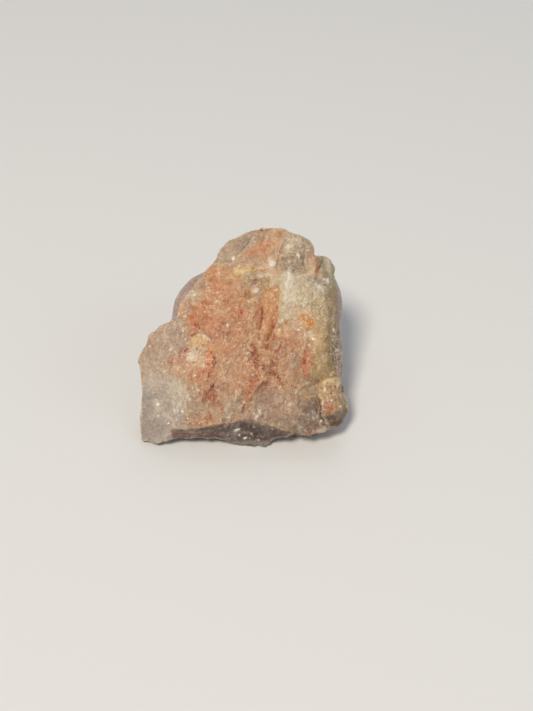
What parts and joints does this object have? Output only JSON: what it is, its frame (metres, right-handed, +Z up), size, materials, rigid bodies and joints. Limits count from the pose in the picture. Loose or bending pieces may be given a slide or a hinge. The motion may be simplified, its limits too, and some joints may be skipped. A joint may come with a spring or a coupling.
{
  "type": "rough strawberry quartz",
  "caption": "Rough chunk of milky salmon-pink quartz with one broken, streaked face, a worn rounded back and a natural foot it rests on.",
  "frame": {"origin": "bottom centre of the stone's box, on the surface it rests on", "axes": "+Z up, -Y the side its broken face is turned to, X across the face"},
  "size_m": [0.0494, 0.0441, 0.0412],
  "materials": {
    "strawberry_quartz": "rough broken milky quartz, salmon with iron-red streaks and cream and lilac-grey patches, worn smooth at the back"
  },
  "bodies": {
    "root": {"strawberry_quartz": "strawberry_quartz"}
  },
  "joints": []
}
